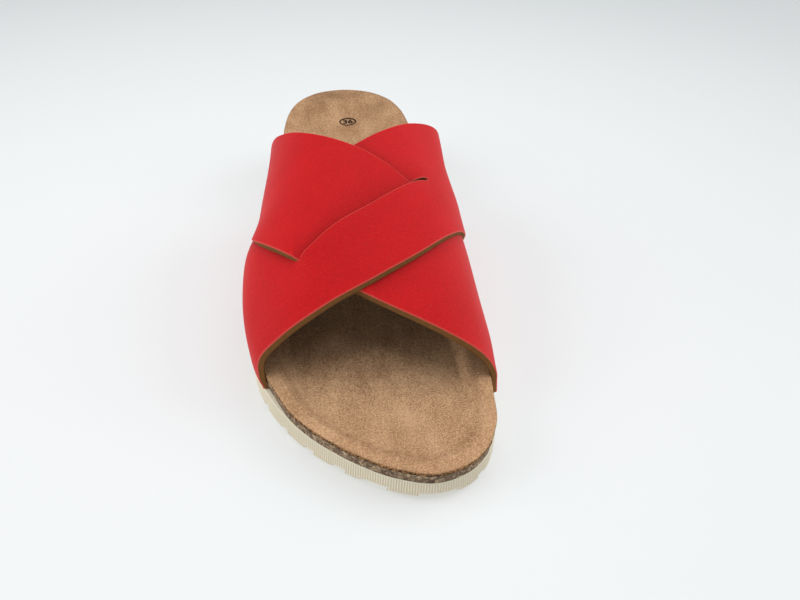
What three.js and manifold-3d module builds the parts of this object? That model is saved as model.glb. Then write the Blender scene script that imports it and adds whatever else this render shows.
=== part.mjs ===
// Slide sandal for the right foot, with two wide straps that cross over the instep.
// Millimetres, +Z up, toe towards -Y, big toe side towards +X.
// A station is a distance along the sole, from the back of the heel (0) to the tip of the toe (LENGTH).
// A turn is a place around the last: -1 at the lateral seam, 0 at the crown, 1 at the medial seam.

import * as THREE from 'three';
import Module from 'manifold-3d';

const { clamp, lerp, smoothstep } = THREE.MathUtils;

// Driving dimensions
const LENGTH = 240;
const HEEL_AXIS_X = 1.2; // sets the middle of the footprint on the origin
const GAP = 0.3; // between pieces that touch
const SUEDE = 1.1;
const LEATHER = 2.4;
const LAYER_BITE = 0.2; // how far each strap bites past the middle of the crossing
const STEPS_AROUND = 88;

// Sole outline, as x on each side of the heel's axis
const HEEL_TIP = { station: 0, x: 1 };
const TOE_TIP = { station: LENGTH, x: 15 };
const OUTLINE = [
  { station: 3.5, lateral: -13, medial: 15 },
  { station: 13, lateral: -23, medial: 25 },
  { station: 26, lateral: -28.8, medial: 30 },
  { station: 42, lateral: -31.8, medial: 31.6 },
  { station: 66, lateral: -33, medial: 31.4 },
  { station: 95, lateral: -34.3, medial: 29 },
  { station: 124, lateral: -38, medial: 31.8 },
  { station: 150, lateral: -43, medial: 37.7 },
  { station: 170, lateral: -45, medial: 41.4 },
  { station: 187, lateral: -42.8, medial: 42.8 },
  { station: 199, lateral: -38.2, medial: 42.2 },
  { station: 209, lateral: -32.2, medial: 41.3 },
  { station: 218, lateral: -24.8, medial: 39.3 },
  { station: 225, lateral: -17, medial: 36.7 },
  { station: 231.5, lateral: -8, medial: 32.8 },
  { station: 237, lateral: 2.5, medial: 26.2 },
];

// Heights along the sole: seam between outsole and cork, middle of the bed, rim on each side,
// and how far the arch flares out over the seam
const LEVELS = [
  { station: 0, seam: 11.5, bed: 27.5, lateralRim: 37, medialRim: 37, flare: 0 },
  { station: 25, seam: 11.5, bed: 25, lateralRim: 36.6, medialRim: 36.8, flare: 0 },
  { station: 60, seam: 11.2, bed: 25.5, lateralRim: 33.5, medialRim: 36.4, flare: 1.6 },
  { station: 95, seam: 10.4, bed: 23, lateralRim: 27.5, medialRim: 35, flare: 4.6 },
  { station: 125, seam: 9.5, bed: 18.5, lateralRim: 22, medialRim: 29.5, flare: 4 },
  { station: 150, seam: 9, bed: 15, lateralRim: 18.3, medialRim: 22.5, flare: 2.2 },
  { station: 175, seam: 8.8, bed: 12.6, lateralRim: 15.8, medialRim: 17.5, flare: 0.6 },
  { station: 200, seam: 8.8, bed: 12.2, lateralRim: 14.4, medialRim: 15, flare: 0 },
  { station: 225, seam: 8.8, bed: 12, lateralRim: 14.4, medialRim: 14.4, flare: 0 },
  { station: 240, seam: 8.8, bed: 12.2, lateralRim: 14.4, medialRim: 14.4, flare: 0 },
];

// Outsole: where it leaves the ground, by how much, and how sharply it bends away
const TOE_SPRING = { from: 186, rise: 2.4, bend: 1.3 };
const HEEL_ROLL = { from: 26, rise: 1.2, bend: 1.2 };
const WAIST = { from: 74, to: 154, rise: 1.4 };
const SIDE_TAPER = 1.2;
const BOTTOM_EDGE = 0.8; // rounding of the bottom edge
const LUGS = { grooves: 20, width: 3.2, depth: 1.9, overrun: 6 };
const TOE_NOTCH = { width: 7.5, length: 16, lean: 2, overrun: 1 };

// The cork is trimmed back under the straps, from behind them to just past their front edges
const TUCK = { depth: 1.4, from: 45, full: 68, past: 3, gone: 18 };

// Bed: the line that its rings close on, and their shares of the way from there to the edge
const SPINE = { heel: 32, toe: 205, core: 0.12, middle: 0.6 };
const BED_RINGS = [0.12, 0.38, 0.6, 0.7, 0.79, 0.87, 0.96];
const RIM_ROUND = 0.4;
const TOE_MARGIN = { from: 0.6, to: 0.86 }; // the flat toe bed rises to its broad margin between these
const CUP = { power: 2.3, heel: 70, toe: 165 }; // the heel's bowl fades into the toe bed between these

// Sections of the last at the middle of the leather: crown height and place, side fullness
const FULLNESS = 2.45;
const WALL_TURN = 0.8; // beyond this turn the leather lies on the cork's side
const LAST = [
  { station: 60, crown: 76.5, crownX: 2, lateralOut: 1, medialOut: 6.5 },
  { station: 95, crown: 70, crownX: 2, lateralOut: 1, medialOut: 5.5 },
  { station: 130, crown: 61, crownX: 2, lateralOut: 1.1, medialOut: 1.8 },
  { station: 165, crown: 50, crownX: 1, lateralOut: 2.4, medialOut: -1.2 },
  { station: 210, crown: 30.5, crownX: 0, lateralOut: -0.5, medialOut: -1.5 },
];

// Edges of the straps around the last. The slit strap runs from the medial rear to the lateral front.
// The through strap runs from the lateral rear, over the rear of the slit strap and down through its
// slit, to the medial front.
const SLIT_STRAP_REAR = [
  { turn: -1, station: 125 },
  { turn: -0.7, station: 133 },
  { turn: -0.4, station: 136 },
  { turn: -0.2, station: 130.5 },
  { turn: 0, station: 118 },
  { turn: 0.16, station: 109 },
  { turn: 0.34, station: 100.2 },
  { turn: 0.57, station: 90 },
  { turn: 1, station: 80 },
];
const SLIT_STRAP_FRONT = [
  { turn: -1, station: 196.5 },
  { turn: -0.7, station: 194.8 },
  { turn: -0.45, station: 194.5 },
  { turn: -0.25, station: 191.3 },
  { turn: -0.1, station: 186.3 },
  { turn: 0, station: 181 },
  { turn: 0.15, station: 172.3 },
  { turn: 0.35, station: 161 },
  { turn: 0.55, station: 150.5 },
  { turn: 1, station: 130 },
];
const THROUGH_STRAP_REAR = [
  { turn: -1, station: 76 },
  { turn: -0.6, station: 87.5 },
  { turn: -0.4, station: 100.3 },
  { turn: -0.2, station: 112.6 },
  { turn: 0, station: 125.5 },
  { turn: 0.2, station: 139.5 },
  { turn: 0.45, station: 146 },
  { turn: 0.7, station: 142 },
  { turn: 1, station: 127 },
];
const THROUGH_STRAP_FRONT = [
  { turn: -1, station: 128 },
  { turn: -0.7, station: 137 },
  { turn: -0.45, station: 155.3 },
  { turn: -0.2, station: 173.5 },
  { turn: 0, station: 187 },
  { turn: 0.2, station: 196.5 },
  { turn: 0.4, station: 200.8 },
  { turn: 0.7, station: 202.5 },
  { turn: 1, station: 206 },
];
const SLIT_LINE = [
  { turn: -1, station: 168 },
  { turn: -0.45, station: 174 },
  { turn: -0.26, station: 169.8 },
  { turn: -0.1, station: 159 },
  { turn: 0.02, station: 150.2 },
  { turn: 0.12, station: 143.8 },
  { turn: 0.25, station: 136.8 },
  { turn: 0.33, station: 133.9 },
  { turn: 0.5, station: 127 },
  { turn: 1, station: 106 },
];
const SLIT = { lateral: -0.26, medial: 0.33, halfWidth: 0.4 };
const EASE = { spread: 100, least: 0.01 }; // beyond the slit's ends its step widens into a slope
const RIDE = { from: -0.55, to: -0.15 }; // turns where the slit strap climbs over the other strap
const DIVE = 14; // the through strap goes down over this length on each side of the slit
const LIP = { rise: 0.8, length: 14 }; // the strap that it pushes up, in front of the slit
const FOOT_STEP = 0.25; // share of the step between the straps that is left at the seam
const STRAP_COLUMNS = { lateral: 14, slit: 14, medial: 13 };
const STRAP_ROWS = { slitRear: 6, slitFront: 6, through: 11 };

// Finishes
const FOAM_RUBBER = { color: 0xbfb096, roughness: 0.85 };
const CORK = { color: 0x6e5747, roughness: 0.9 };
const TAN_SUEDE = { color: 0xb98c64, roughness: 0.95 };
const RED_LEATHER = { color: 0xc02a2c, roughness: 0.55 };

// Smooth value of one column of a table at a key, through its rows
function lookUp(rows, key, at, column) {
  const end = rows.length - 1;
  const place = clamp(at, rows[0][key], rows[end][key]);
  let row = 0;
  while (row < end - 1 && place > rows[row + 1][key]) {
    row += 1;
  }
  const slope = (index) => {
    const before = rows[Math.max(index - 1, 0)];
    const after = rows[Math.min(index + 1, end)];
    return (after[column] - before[column]) / (after[key] - before[key]);
  };
  const span = rows[row + 1][key] - rows[row][key];
  const t = (place - rows[row][key]) / span;
  const rise = t * t * (3 - 2 * t);
  const leave = t * (1 - t) * (1 - t) * span * slope(row);
  const arrive = t * t * (1 - t) * span * slope(row + 1);
  return lerp(rows[row][column], rows[row + 1][column], rise) + leave - arrive;
}

const level = (station, column) => lookUp(LEVELS, 'station', station, column);
const edgeStation = (edge, turn) => lookUp(edge, 'turn', turn, 'station');

// The outline as evenly spaced points, heel tip first, along the medial side to the toe and back
function traceOutline() {
  const medial = OUTLINE.map((row) => new THREE.Vector3(row.medial, row.station, 0));
  const lateral = OUTLINE.map((row) => new THREE.Vector3(row.lateral, row.station, 0)).reverse();
  const heel = new THREE.Vector3(HEEL_TIP.x, HEEL_TIP.station, 0);
  const toe = new THREE.Vector3(TOE_TIP.x, TOE_TIP.station, 0);
  const curve = new THREE.CatmullRomCurve3([heel, ...medial, toe, ...lateral], true, 'centripetal');
  curve.arcLengthDivisions = 2000;
  const points = curve.getSpacedPoints(STEPS_AROUND).slice(0, STEPS_AROUND);
  return points.map((point, index) => {
    const along = curve.getTangentAt(index / STEPS_AROUND);
    return { station: point.y, x: point.x, outStation: -along.x, outX: along.y };
  });
}

const outline = traceOutline();
const toeIndex = STEPS_AROUND / 2;
const sideOf = (index) => (index <= toeIndex ? 'medial' : 'lateral');

// X of the outline, moved outwards by an offset, where it passes a station on one side
function edgeX(station, side, offset) {
  const first = side === 'medial' ? 0 : toeIndex;
  for (let step = 0; step < toeIndex; step += 1) {
    const here = outline[first + step];
    const next = outline[(first + step + 1) % STEPS_AROUND];
    const from = here.station + here.outStation * offset;
    const to = next.station + next.outStation * offset;
    if ((from - station) * (to - station) <= 0) {
      const share = (station - from) / (to - from);
      return lerp(here.x + here.outX * offset, next.x + next.outX * offset, share);
    }
  }
  return 0;
}

const middleX = (station) => (edgeX(station, 'lateral', 0) + edgeX(station, 'medial', 0)) / 2;

// How far the cork stands inside the outsole at a place on its side
function tuckAt(station, side) {
  const frontEdge = side === 'medial' ? THROUGH_STRAP_FRONT : SLIT_STRAP_FRONT;
  const front = edgeStation(frontEdge, side === 'medial' ? 1 : -1);
  const behind = smoothstep(station, TUCK.from, TUCK.full);
  const ahead = smoothstep(station, front + TUCK.past, front + TUCK.gone);
  return TUCK.depth * behind * (1 - ahead);
}

const flareAt = (station, side) => (side === 'medial' ? level(station, 'flare') : 0);

// Loop of points around the sole: the outline moved outwards, then pulled towards the spine
function loop(offset, share) {
  return outline.map((point, index) => {
    const out = offset(point.station, sideOf(index));
    const station = point.station + point.outStation * out;
    const x = point.x + point.outX * out;
    const spine = clamp(point.station, SPINE.heel, SPINE.toe);
    const pulled = { station: lerp(spine, station, share), x: lerp(middleX(spine), x, share) };
    return { ...pulled, edge: point.station, index };
  });
}

const place = (point, z) => new THREE.Vector3(point.x, LENGTH / 2 - point.station, z);

// Closed skin over a stack of loops, from the middle of the top, down the side, to the middle underneath
function skin(rings) {
  const count = rings[0].length;
  const positions = rings.flat().flatMap((point) => point.toArray());
  const faces = [];
  const face = (a, b, c) => {
    if (a !== b && b !== c && c !== a) {
      faces.push(a, b, c);
    }
  };
  for (let ring = 0; ring < rings.length - 1; ring += 1) {
    const inner = ring * count;
    const outer = inner + count;
    for (let index = 0; index < count; index += 1) {
      const next = (index + 1) % count;
      face(inner + index, inner + next, outer + next);
      face(inner + index, outer + next, outer + index);
    }
  }
  const under = (rings.length - 1) * count;
  for (let index = 0; index < count / 2; index += 1) {
    const across = (count - index) % count;
    const acrossNext = count - index - 1;
    face(index, acrossNext, index + 1);
    face(index, across, acrossNext);
    face(under + index, under + index + 1, under + acrossNext);
    face(under + index, under + acrossNext, under + across);
  }
  return toGeometry(positions, faces);
}

function toGeometry(positions, faces) {
  const geometry = new THREE.BufferGeometry();
  geometry.setAttribute('position', new THREE.Float32BufferAttribute(positions, 3));
  geometry.setIndex(Array.from(faces));
  geometry.computeVertexNormals();
  return geometry;
}

// Underside: flat at heel and ball, a low arch at the waist, rolled heel and toe spring
function bottomAt(station) {
  const toe = Math.max(0, (station - TOE_SPRING.from) / (LENGTH - TOE_SPRING.from));
  const heel = Math.max(0, (HEEL_ROLL.from - station) / HEEL_ROLL.from);
  const waist = clamp((station - WAIST.from) / (WAIST.to - WAIST.from), 0, 1);
  const ends = TOE_SPRING.rise * toe ** TOE_SPRING.bend + HEEL_ROLL.rise * heel ** HEEL_ROLL.bend;
  return ends + WAIST.rise * Math.sin(Math.PI * waist);
}

function outsoleBlank() {
  const flush = () => 0;
  const tapered = () => -SIDE_TAPER;
  const rounded = () => -SIDE_TAPER - BOTTOM_EDGE;
  const top = (point) => place(point, level(point.station, 'seam'));
  const under = (point) => place(point, bottomAt(point.station));
  const underEdge = (point) => place(point, bottomAt(point.station) + BOTTOM_EDGE);
  return skin([
    loop(flush, SPINE.core).map(top),
    loop(flush, SPINE.middle).map(top),
    loop(flush, 1).map(top),
    loop(tapered, 1).map(underEdge),
    loop(rounded, 1).map(under),
    loop(rounded, SPINE.middle).map(under),
    loop(rounded, SPINE.core).map(under),
  ]);
}

// One groove between two places on the sole's edge, cut from below
function grooveBar(from, to, width, overrun) {
  const start = place(from, bottomAt(from.station));
  const end = place(to, bottomAt(to.station));
  const length = start.distanceTo(end) + 2 * overrun;
  const bar = new THREE.BoxGeometry(length, width, 2 * LUGS.depth);
  bar.rotateY(-Math.asin((end.z - start.z) / start.distanceTo(end)));
  bar.rotateZ(Math.atan2(end.y - start.y, end.x - start.x));
  const middle = start.add(end).multiplyScalar(0.5);
  return bar.translate(middle.x, middle.y, middle.z);
}

function grooveBars() {
  const edge = loop(() => 0, 1);
  const spacing = toeIndex / (LUGS.grooves + 1);
  const bars = [];
  for (let groove = 1; groove <= LUGS.grooves; groove += 1) {
    const index = Math.round(groove * spacing);
    bars.push(grooveBar(edge[STEPS_AROUND - index], edge[index], LUGS.width, LUGS.overrun));
  }
  const toe = edge[toeIndex - 1];
  const inside = { station: toe.station - TOE_NOTCH.length, x: toe.x - TOE_NOTCH.lean };
  bars.push(grooveBar(inside, toe, TOE_NOTCH.width, TOE_NOTCH.overrun));
  return bars;
}

// Bed height: a bowl at the heel that fades into a flat toe bed with a broad raised margin
function bedHeight(point, share) {
  const rim = level(point.edge, `${sideOf(point.index)}Rim`);
  const bed = level(point.station, 'bed');
  const bowl = share ** CUP.power;
  const margin = smoothstep(share, TOE_MARGIN.from, TOE_MARGIN.to);
  const rise = lerp(bowl, margin, smoothstep(point.edge, CUP.heel, CUP.toe));
  return lerp(bed, rim, rise);
}

const rimOffset = (station, side) => flareAt(station, side) - tuckAt(station, side);

// Loops of the bed's top, from its middle to its edge, lowered by a drop
function bedLoops(drop) {
  const loops = BED_RINGS.map((share) =>
    loop(rimOffset, share).map((point) => place(point, bedHeight(point, share) - drop)),
  );
  const edge = loop(rimOffset, 1).map((point) => place(point, bedHeight(point, 1) - RIM_ROUND - drop));
  return [...loops, edge];
}

function insoleSheet() {
  return skin([...bedLoops(0), ...bedLoops(SUEDE).reverse()]);
}

function footbedBlock() {
  const seamLoop = (share) =>
    loop((station, side) => -tuckAt(station, side), share).map((point) =>
      place(point, level(point.station, 'seam') + GAP),
    );
  return skin([...bedLoops(SUEDE + GAP), seamLoop(1), seamLoop(SPINE.middle), seamLoop(SPINE.core)]);
}

// Point on the middle surface of the crossing: up the cork's side, then over the crown
function lastPoint(station, turn) {
  const side = turn < 0 ? 'lateral' : 'medial';
  const section = (column) => lookUp(LAST, 'station', station, column);
  const footX = edgeX(station, side, LEATHER - LAYER_BITE + GAP - TUCK.depth);
  const rimX = footX + flareAt(station, side);
  const rimZ = level(station, `${side}Rim`) - RIM_ROUND - SUEDE - GAP;
  const around = Math.abs(turn);
  if (around > WALL_TURN) {
    const down = (around - WALL_TURN) / (1 - WALL_TURN);
    const footZ = level(station, 'seam') + GAP;
    return place({ station, x: lerp(rimX, footX, down) }, lerp(rimZ, footZ, down));
  }
  const angle = (around / WALL_TURN) * (Math.PI / 2);
  const rise = Math.cos(angle) ** (2 / FULLNESS);
  const reach = Math.sin(angle) ** (2 / FULLNESS);
  const out = side === 'lateral' ? -section('lateralOut') : section('medialOut');
  const crownX = section('crownX');
  const x = lerp(crownX, rimX, reach) + out * Math.sin(Math.PI * rise) ** 2;
  return place({ station, x }, lerp(rimZ, section('crown'), rise));
}

// Outward direction of that surface
function lastNormal(station, turn) {
  const stationStep = 1;
  const turnStep = 0.02;
  const lowTurn = Math.max(turn - turnStep, -1);
  const highTurn = Math.min(turn + turnStep, 1);
  const across = lastPoint(station, highTurn).sub(lastPoint(station, lowTurn));
  const along = lastPoint(station + stationStep, turn).sub(lastPoint(station - stationStep, turn));
  return along.cross(across).normalize();
}

// Closed wall of the leather's thickness over a patchwork of cells, with cut edges where a cell has
// no neighbour. Each corner has a key, a station, a turn and a lift from the middle surface.
function leatherWall(cells) {
  const numbers = new Map();
  const positions = [];
  const faces = [];
  const freeEdges = new Map();
  const numberOf = (corner) => {
    if (!numbers.has(corner.key)) {
      const base = lastPoint(corner.station, corner.turn);
      const normal = lastNormal(corner.station, corner.turn);
      const outer = base.clone().addScaledVector(normal, corner.lift + LEATHER / 2);
      const inner = base.clone().addScaledVector(normal, corner.lift - LEATHER / 2);
      numbers.set(corner.key, positions.length / 3);
      positions.push(...outer.toArray(), ...inner.toArray());
    }
    return numbers.get(corner.key);
  };
  for (const cell of cells) {
    const [a, b, c, d] = cell.map(numberOf);
    faces.push(a, b, c, a, c, d);
    faces.push(a + 1, c + 1, b + 1, a + 1, d + 1, c + 1);
    const sides = [[a, b], [b, c], [c, d], [d, a]];
    for (const [from, to] of sides) {
      if (!freeEdges.delete(`${to},${from}`)) {
        freeEdges.set(`${from},${to}`, [from, to]);
      }
    }
  }
  for (const [from, to] of freeEdges.values()) {
    faces.push(to, from, from + 1, to, from + 1, to + 1);
  }
  return toGeometry(positions, faces);
}

// Turns of the straps' columns, with the slit's two ends among them
function strapTurns() {
  const stretch = (from, to, steps) =>
    Array.from({ length: steps }, (_, step) => lerp(from, to, step / steps));
  return [
    ...stretch(-1, SLIT.lateral, STRAP_COLUMNS.lateral),
    ...stretch(SLIT.lateral, SLIT.medial, STRAP_COLUMNS.slit),
    ...stretch(SLIT.medial, 1, STRAP_COLUMNS.medial),
    1,
  ];
}

const turns = strapTurns();
const highLift = LEATHER / 2 - LAYER_BITE;

// Cells between neighbouring rows and columns, from a function that gives each corner
function cellsOf(rowCount, cornerAt) {
  const cells = [];
  for (let row = 0; row < rowCount; row += 1) {
    for (let column = 0; column < turns.length - 1; column += 1) {
      const corner = (down, along) => cornerAt(row + down, column + along, row);
      cells.push([corner(0, 0), corner(1, 0), corner(1, 1), corner(0, 1)]);
    }
  }
  return cells;
}

// The strap with the slit: low where the other strap covers it, high where it covers the other
function slitStrap() {
  const slitRow = STRAP_ROWS.slitRear;
  const cornerAt = (row, column, cellRow) => {
    const turn = turns[column];
    const slitStation = edgeStation(SLIT_LINE, turn);
    const open = turn > SLIT.lateral && turn < SLIT.medial;
    const front = row > slitRow || (row === slitRow && cellRow >= slitRow);
    const cut = open ? SLIT.halfWidth : 0;
    const rearShare = row / slitRow;
    const frontShare = (row - slitRow) / STRAP_ROWS.slitFront;
    const station = front
      ? lerp(slitStation + cut, edgeStation(SLIT_STRAP_FRONT, turn), frontShare)
      : lerp(edgeStation(SLIT_STRAP_REAR, turn), slitStation - cut, rearShare);
    const beyond = Math.max(SLIT.lateral - turn, turn - SLIT.medial, 0);
    const ease = Math.max(EASE.spread * beyond, EASE.least);
    const covers = beyond === 0 ? Number(front) : smoothstep(station - slitStation, -ease, ease);
    const settles = lerp(1, FOOT_STEP, smoothstep(turn, WALL_TURN, 1));
    const rides = smoothstep(turn, RIDE.from, RIDE.to) * settles;
    const pushed = Number(open && front) * (1 - smoothstep(station - slitStation, 0, LIP.length));
    const lift = lerp(-highLift, highLift, covers * rides) + LIP.rise * pushed;
    const split = open && row === slitRow && front ? 'front' : '';
    return { key: `${row},${column}${split}`, station, turn, lift };
  };
  return leatherWall(cellsOf(slitRow + STRAP_ROWS.slitFront, cornerAt));
}

// The strap that goes through: high behind the slit, low in front of it
function throughStrap() {
  const cornerAt = (row, column) => {
    const turn = turns[column];
    const rear = edgeStation(THROUGH_STRAP_REAR, turn);
    const front = edgeStation(THROUGH_STRAP_FRONT, turn);
    const station = lerp(rear, front, row / STRAP_ROWS.through);
    const behind = 1 - smoothstep(station - edgeStation(SLIT_LINE, turn), -DIVE, DIVE);
    const rides = lerp(1, FOOT_STEP, smoothstep(-turn, WALL_TURN, 1));
    return { key: `${row},${column}`, station, turn, lift: lerp(-highLift, highLift, behind * rides) };
  };
  return leatherWall(cellsOf(STRAP_ROWS.through, cornerAt));
}

const wasm = await Module();
wasm.setup();

function toSolid(geometry) {
  const vertProperties = new Float32Array(geometry.getAttribute('position').array);
  const triVerts = new Uint32Array(geometry.getIndex().array);
  const mesh = new wasm.Mesh({ numProp: 3, vertProperties, triVerts });
  mesh.merge();
  return new wasm.Manifold(mesh);
}

function fromSolid(solid) {
  const mesh = solid.getMesh();
  return toGeometry(Array.from(mesh.vertProperties), mesh.triVerts);
}

const outsoleTread = () => {
  const blank = toSolid(outsoleBlank());
  return fromSolid(grooveBars().reduce((sole, bar) => sole.subtract(toSolid(bar)), blank));
};

const crossedStraps = () => fromSolid(toSolid(slitStrap()).add(toSolid(throughStrap())));

function piece(name, geometry, finish) {
  const material = new THREE.MeshStandardMaterial({ ...finish, metalness: 0 });
  const mesh = new THREE.Mesh(geometry, material);
  mesh.name = name;
  return mesh;
}

const sandal = new THREE.Group();
sandal.add(piece('outsole', outsoleTread(), FOAM_RUBBER));
sandal.add(piece('footbed', footbedBlock(), CORK));
sandal.add(piece('insole', insoleSheet(), TAN_SUEDE));
sandal.add(piece('upper', crossedStraps(), RED_LEATHER));
sandal.position.x = HEEL_AXIS_X;

export default sandal;
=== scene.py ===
import math

import bmesh
import bpy
import numpy as np
from mathutils import Matrix, Vector, noise


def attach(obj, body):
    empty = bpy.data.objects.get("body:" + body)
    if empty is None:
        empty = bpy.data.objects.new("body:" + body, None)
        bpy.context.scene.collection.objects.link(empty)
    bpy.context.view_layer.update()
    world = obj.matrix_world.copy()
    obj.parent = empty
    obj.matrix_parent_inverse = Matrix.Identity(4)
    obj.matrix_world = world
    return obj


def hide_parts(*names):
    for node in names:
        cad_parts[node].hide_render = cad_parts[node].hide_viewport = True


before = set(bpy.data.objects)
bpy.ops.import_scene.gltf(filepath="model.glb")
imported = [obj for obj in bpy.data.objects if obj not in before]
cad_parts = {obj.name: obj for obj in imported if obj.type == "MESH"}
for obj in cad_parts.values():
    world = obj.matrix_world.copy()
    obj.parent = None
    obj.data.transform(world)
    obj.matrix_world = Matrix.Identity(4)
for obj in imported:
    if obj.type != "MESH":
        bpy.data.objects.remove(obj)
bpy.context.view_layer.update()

# Slide sandal for the right foot. Sizes are in millimetres, toe towards -Y, big toe side towards +X.
# A station is a distance along the sole from the back of the heel. A turn is a place around the last:
# -1 at the lateral seam, 0 at the crown, 1 at the medial seam. A share of 0 is at the bed's spine, 1 at
# its edge.
MM = 0.001
LENGTH = 240
HEEL_AXIS_X = 1.2
GAP = 0.3
SUEDE = 1.1
LEATHER = 2.4
TINY = 1e-12
ROUGHNESS = {"falloff": 1.0, "step": 2.0, "octaves": 3}


def table(columns, *rows):
    """A short table with named columns."""
    return {name: np.array(values, float) for name, values in zip(columns.split(), zip(*rows))}


def rows_of(columns):
    return zip(*columns.values())


# Sole outline on each side of the heel's axis
HEEL_TIP_X = 1
TOE_TIP_X = 15
OUTLINE = table(
    "station lateral medial",
    (3.5, -13, 15), (13, -23, 25), (26, -28.8, 30), (42, -31.8, 31.6), (66, -33, 31.4), (95, -34.3, 29),
    (124, -38, 31.8), (150, -43, 37.7), (170, -45, 41.4), (187, -42.8, 42.8), (199, -38.2, 42.2),
    (209, -32.2, 41.3), (218, -24.8, 39.3), (225, -17, 36.7), (231.5, -8, 32.8), (237, 2.5, 26.2),
)
STEPS_BETWEEN_CORNERS = 200
GUIDE_POINTS = 2640

# Heights along the sole, and how far the arch flares out over the seam
LEVELS = table(
    "station seam bed lateral_rim medial_rim flare",
    (0, 11.5, 27.5, 37, 37, 0),
    (25, 11.5, 25, 36.6, 36.8, 0),
    (60, 11.2, 25.5, 33.5, 36.4, 1.6),
    (95, 10.4, 23, 27.5, 35, 4.6),
    (125, 9.5, 18.5, 22, 29.5, 4),
    (150, 9, 15, 18.3, 22.5, 2.2),
    (175, 8.8, 12.6, 15.8, 17.5, 0.6),
    (200, 8.8, 12.2, 14.4, 15, 0),
    (225, 8.8, 12, 14.4, 14.4, 0),
    (240, 8.8, 12.2, 14.4, 14.4, 0),
)
SPINE = {"heel": 32, "toe": 205, "core": 0.03, "middle": 0.6}

# Foam rubber sole
TOE_SPRING = {"start": 186, "rise": 1.6, "bend": 1.3}
HEEL_ROLL = {"start": 26, "rise": 1.2, "bend": 1.2}
WAIST = {"start": 74, "end": 154, "rise": 1.4}
SIDE_FLARE = 0.6
TOP_EDGE_DROP = 0.35
BOTTOM_EDGE = 0.5
TOP_EDGE = table("out drop ribbed", (-0.7, 0, 0), (-0.2, 0.08, 0), (0, TOP_EDGE_DROP, 0.4))
LOW_EDGE = table("inwards height ribbed", (0.2, 0.25, 0.6), (BOTTOM_EDGE, 0, 0.2))
SIDE_SHARES = np.linspace(0.06, 1, 7)
UNDERSIDE_SHARES = (0.94, SPINE["middle"], SPINE["core"])
RIBS = {"count": 640, "samples": 4, "depth": 0.24}
LUGS = {"grooves": 20, "width": 3.2, "depth": 1.9, "overrun": 6, "places": 88, "sharp_degrees": 38}
TOE_NOTCH = {"width": 7.5, "length": 16, "lean": 2, "overrun": 1}

# Cork bed: tucked in under the straps, a bowl at the heel and a flat toe with a raised margin
TUCK = {"depth": 1.4, "start": 45, "full": 68, "past": 3, "gone": 18}
STRAP_FRONT_FOOT = {"lateral": 196.5, "medial": 206}
RIM_ROUND = 0.4
TOE_MARGIN = {"start": 0.68, "end": 0.85}
CUP = {"power": 2.3, "heel": 70, "toe": 165}
CORK_POINTS = 1500
CORK_TOP_SHARES = (SPINE["core"], 0.3, 0.6, 0.75, 0.86, 0.94, 0.985)
CORK_DROP = {"depth": 1, "start": 0.9, "gone": 0.985}
CORK_SIDE = {"rings": 16, "grain": 1.6, "rough": 0.22, "inset": 0.12, "fade": 4, "foot": 0.3}
GLUE = {"top": 0.8, "foot": 0.7}

# Suede sheet
SUEDE_POINTS = 1100
SUEDE_SHARES = (*np.linspace(SPINE["core"], 0.55, 14), *np.linspace(0.57, 0.97, 34), 0.98, 0.988)
SUEDE_UNDER_SHARES = (0.985, 0.86, 0.7, 0.4, SPINE["core"])
SUEDE_RIM = table("inwards drop rim", (0.22, 0.04, 0.1), (0.08, 0.16, 0.35), (0, RIM_ROUND, 0.9))
SUEDE_CUT = {"inset": 0.06, "drops": (0.53, 0.83, SUEDE - 0.02), "ragged": 1.4}
RAGGED = {"grain": 1.2, "depth": 0.08, "height": 30}
TOE_PART = {"start": 120, "full": 170}
# Where the painted shade of the margin's slope and the painted light of the raised margin lie
MARGIN_SLOPE = {"share": 0.83, "width": 0.035}
MARGIN_FULL = 0.92

# Soft troughs of the suede: along the edge, share, side, length along, width as a share, depth
BED_TROUGHS = table(
    "station share medial length width depth",
    (193, 0.735, 1, 13, 0.035, 0.6),
    (214, 0.85, 0, 26, 0.016, 0.25),
    (214, 0.9, 0, 26, 0.012, 0.2),
    (196, 0.8, 0, 20, 0.03, 0.4),
)

# Darker patches on the heel of the suede: partly smudges, partly painted shade where the heel cup rises at
# the back
HEEL_MARKS = table(
    "station x length width strength",
    (4.2, 19.5, 1.6, 1.8, 1.0),
    (3.4, -4, 2.2, 8, 0.8),
    (3.0, 9, 2.0, 4, 0.55),
    (9, -14, 4, 5, 0.35),
    (13, 20, 4, 4, 0.3),
    (8, 26, 4, 3, 0.3),
    (18, 21, 14, 11, 0.2),
    (18, -21, 14, 10, 0.12),
)

# Size mark on the heel
SIZE_MARK = {"station": 20.1, "x": 2.0, "width": 9.4, "height": 5.9, "line": 0.7, "proud": 0.12, "steps": 72}
SIZE_DIGITS = {"text": "36", "size": 5.4, "bold": 0.14, "scale": (1.08, 0.74, 1)}

# Sections of the last at the middle of the leather
FULLNESS = 2.45
WALL_TURN = 0.8
FOOT_OUT = 1.1
LAST = table(
    "station crown crown_x lateral_out medial_out",
    (60, 76.5, 2, 1, 6.5),
    (95, 70, 2, 1, 5.5),
    (130, 61, 2, 1.1, 1.8),
    (165, 50, 1, 2.4, -1.2),
    (210, 30.5, 0, -0.5, -1.5),
)
NORMAL_STEP = {"turn": 0.02, "station": 1}

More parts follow.
